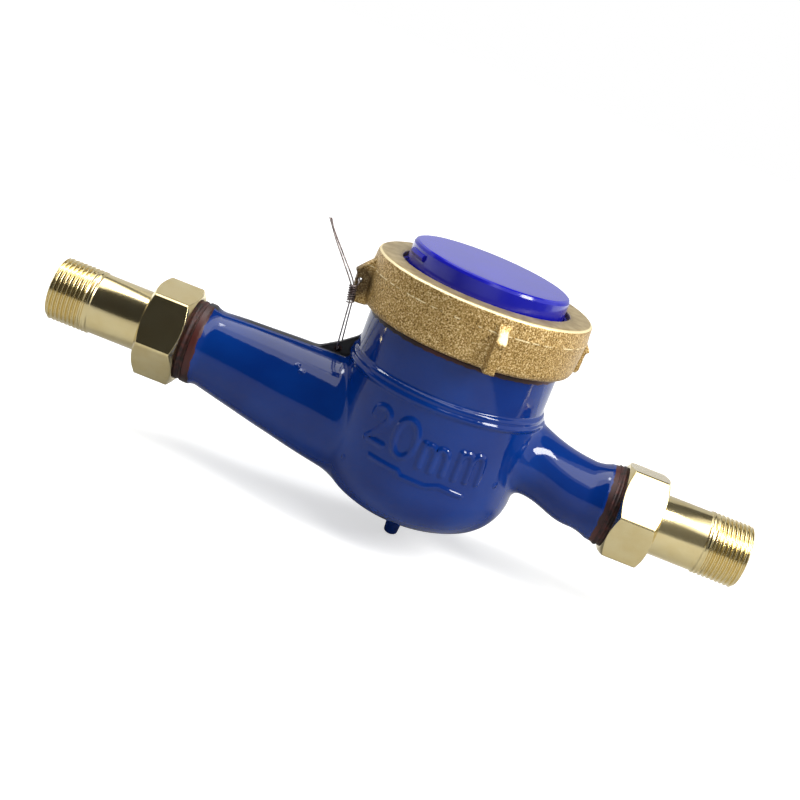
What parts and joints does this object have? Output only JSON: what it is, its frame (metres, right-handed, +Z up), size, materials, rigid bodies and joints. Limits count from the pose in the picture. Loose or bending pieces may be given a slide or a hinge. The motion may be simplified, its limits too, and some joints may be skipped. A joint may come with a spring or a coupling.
{
  "type": "water meter",
  "caption": "Multi-jet vane-wheel water meter with a painted cast body, brass ring nut, hinged lid over a glazed register, union couplings at both ends and a sealing wire.",
  "frame": {"origin": "on the pipe axis where the inlet tail's full thread begins, 1 mm inside its free end", "axes": "+X along the pipe from the inlet to the outlet, +Z up along the register axis, which crosses the pipe axis at x = 0.162"},
  "size_m": [0.299, 0.0966, 0.1197],
  "materials": {
    "body_enamel": "glossy stoved enamel over cast iron",
    "cast_brass": "sand-cast skin, unmachined",
    "turned_brass": "turned and polished",
    "lid_plastic": "moulded",
    "grey_plastic": "moulded",
    "wheel_plastic": "moulded",
    "train_plastic": "moulded",
    "dial_white": "printed aluminium sheet",
    "pointer_red": "moulded",
    "star_red": "moulded",
    "roller_black": "moulded and printed",
    "glass": "polished, toughened",
    "rubber": "moulded sheet",
    "grey_fibre": "stamped slip washer",
    "steel": "drawn",
    "jewel": "polished synthetic stone, modelled as hard gloss"
  },
  "bodies": {
    "meter": {"meter_body": "body_enamel", "ring_nut": "cast_brass", "lid_bezel": "lid_plastic", "lid_pin": "steel", "friction_washer": "grey_fibre", "glass": "glass", "glass_gasket": "rubber", "chamber_gasket": "rubber", "inlet_washer": "rubber", "outlet_washer": "rubber", "register_shell": "grey_plastic", "register_plate": "grey_plastic", "impeller_box": "grey_plastic", "strainer": "grey_plastic", "plate_screws": "steel", "roller_shaft": "steel", "pivot": "steel", "seal_wire": "steel", "dial": "dial_white", "inlet_nut": "turned_brass", "outlet_nut": "turned_brass", "inlet_tail": "turned_brass", "outlet_tail": "turned_brass"},
    "lid_leaf": {"lid": "lid_plastic"},
    "vane_wheel": {"impeller": "wheel_plastic", "pivot_jewel": "jewel"},
    "pointer_1_wheel": {"pointer_1_arbor": "train_plastic", "pointer_1": "pointer_red"},
    "pointer_2_wheel": {"pointer_2_arbor": "train_plastic", "pointer_2": "pointer_red"},
    "pointer_3_wheel": {"pointer_3_arbor": "train_plastic", "pointer_3": "pointer_red"},
    "pointer_4_wheel": {"pointer_4_arbor": "train_plastic", "pointer_4": "pointer_red"},
    "star_wheel": {"star_arbor": "train_plastic", "leak_star": "star_red"},
    "idler_1_wheel": {"idler_1_arbor": "train_plastic"},
    "idler_2_wheel": {"idler_2_arbor": "train_plastic"},
    "idler_3_wheel": {"idler_3_arbor": "train_plastic"},
    "worm_wheel": {"worm_arbor": "train_plastic"},
    "roller_1_drum": {"roller_1": "roller_black"},
    "roller_2_drum": {"roller_2": "roller_black"},
    "roller_3_drum": {"roller_3": "roller_black"},
    "roller_4_drum": {"roller_4": "roller_black"},
    "roller_5_drum": {"roller_5": "roller_black"}
  },
  "joints": [
    {"name": "lid_hinge", "type": "hinge", "parent": "meter", "child": "lid_leaf", "pos_m": [0.18954, 0.0159, 0.0679], "axis": [-0.5, 0.866, 0], "range_deg": [-1.6, 100]},
    {"name": "impeller_spin", "type": "hinge", "parent": "meter", "child": "vane_wheel", "pos_m": [0.162, 0, 0], "axis": [0, 0, 1], "continuous": true},
    {"name": "pointer_1_spin", "type": "hinge", "parent": "meter", "child": "pointer_1_wheel", "pos_m": [0.14461, -0.00466, 0.035], "axis": [0, 0, 1], "continuous": true},
    {"name": "pointer_2_spin", "type": "hinge", "parent": "meter", "child": "pointer_2_wheel", "pos_m": [0.15439, -0.01631, 0.035], "axis": [0, 0, 1], "continuous": true},
    {"name": "pointer_3_spin", "type": "hinge", "parent": "meter", "child": "pointer_3_wheel", "pos_m": [0.16961, -0.01631, 0.035], "axis": [0, 0, 1], "continuous": true},
    {"name": "pointer_4_spin", "type": "hinge", "parent": "meter", "child": "pointer_4_wheel", "pos_m": [0.17939, -0.00466, 0.035], "axis": [0, 0, 1], "continuous": true},
    {"name": "star_spin", "type": "hinge", "parent": "meter", "child": "star_wheel", "pos_m": [0.15234, 0.00129, 0.035], "axis": [0, 0, 1], "continuous": true},
    {"name": "idler_1_spin", "type": "hinge", "parent": "meter", "child": "idler_1_wheel", "pos_m": [0.14561, -0.01436, 0.035], "axis": [0, 0, 1], "continuous": true},
    {"name": "idler_2_spin", "type": "hinge", "parent": "meter", "child": "idler_2_wheel", "pos_m": [0.16246, -0.01084, 0.035], "axis": [0, 0, 1], "continuous": true},
    {"name": "idler_3_spin", "type": "hinge", "parent": "meter", "child": "idler_3_wheel", "pos_m": [0.17899, -0.01365, 0.035], "axis": [0, 0, 1], "continuous": true},
    {"name": "worm_spin", "type": "hinge", "parent": "meter", "child": "worm_wheel", "pos_m": [0.1769, 0.00861, 0.035], "axis": [0, 0, 1], "continuous": true},
    {"name": "roller_1_spin", "type": "hinge", "parent": "meter", "child": "roller_1_drum", "pos_m": [0.172, 0.0136, 0.0419], "axis": [1, 0, 0], "continuous": true},
    {"name": "roller_2_spin", "type": "hinge", "parent": "meter", "child": "roller_2_drum", "pos_m": [0.167, 0.0136, 0.0419], "axis": [1, 0, 0], "continuous": true},
    {"name": "roller_3_spin", "type": "hinge", "parent": "meter", "child": "roller_3_drum", "pos_m": [0.162, 0.0136, 0.0419], "axis": [1, 0, 0], "continuous": true},
    {"name": "roller_4_spin", "type": "hinge", "parent": "meter", "child": "roller_4_drum", "pos_m": [0.157, 0.0136, 0.0419], "axis": [1, 0, 0], "continuous": true},
    {"name": "roller_5_spin", "type": "hinge", "parent": "meter", "child": "roller_5_drum", "pos_m": [0.152, 0.0136, 0.0419], "axis": [1, 0, 0], "continuous": true}
  ],
  "couplings": [
    {"joint": "pointer_1_spin", "follows": "impeller_spin", "ratio": 0.09},
    {"joint": "pointer_2_spin", "follows": "impeller_spin", "ratio": 0.009},
    {"joint": "pointer_3_spin", "follows": "impeller_spin", "ratio": 0.0009},
    {"joint": "pointer_4_spin", "follows": "impeller_spin", "ratio": 0.00009},
    {"joint": "star_spin", "follows": "impeller_spin", "ratio": -0.3},
    {"joint": "idler_1_spin", "follows": "impeller_spin", "ratio": -0.027},
    {"joint": "idler_2_spin", "follows": "impeller_spin", "ratio": -0.0027},
    {"joint": "idler_3_spin", "follows": "impeller_spin", "ratio": -0.00027},
    {"joint": "worm_spin", "follows": "impeller_spin", "ratio": -0.00009},
    {"joint": "roller_1_spin", "follows": "impeller_spin", "ratio": 0.000009},
    {"joint": "roller_2_spin", "follows": "impeller_spin", "ratio": 0.0000009},
    {"joint": "roller_3_spin", "follows": "impeller_spin", "ratio": 0.00000009},
    {"joint": "roller_4_spin", "follows": "impeller_spin", "ratio": 0.000000009},
    {"joint": "roller_5_spin", "follows": "impeller_spin", "ratio": 0.0000000009}
  ]
}
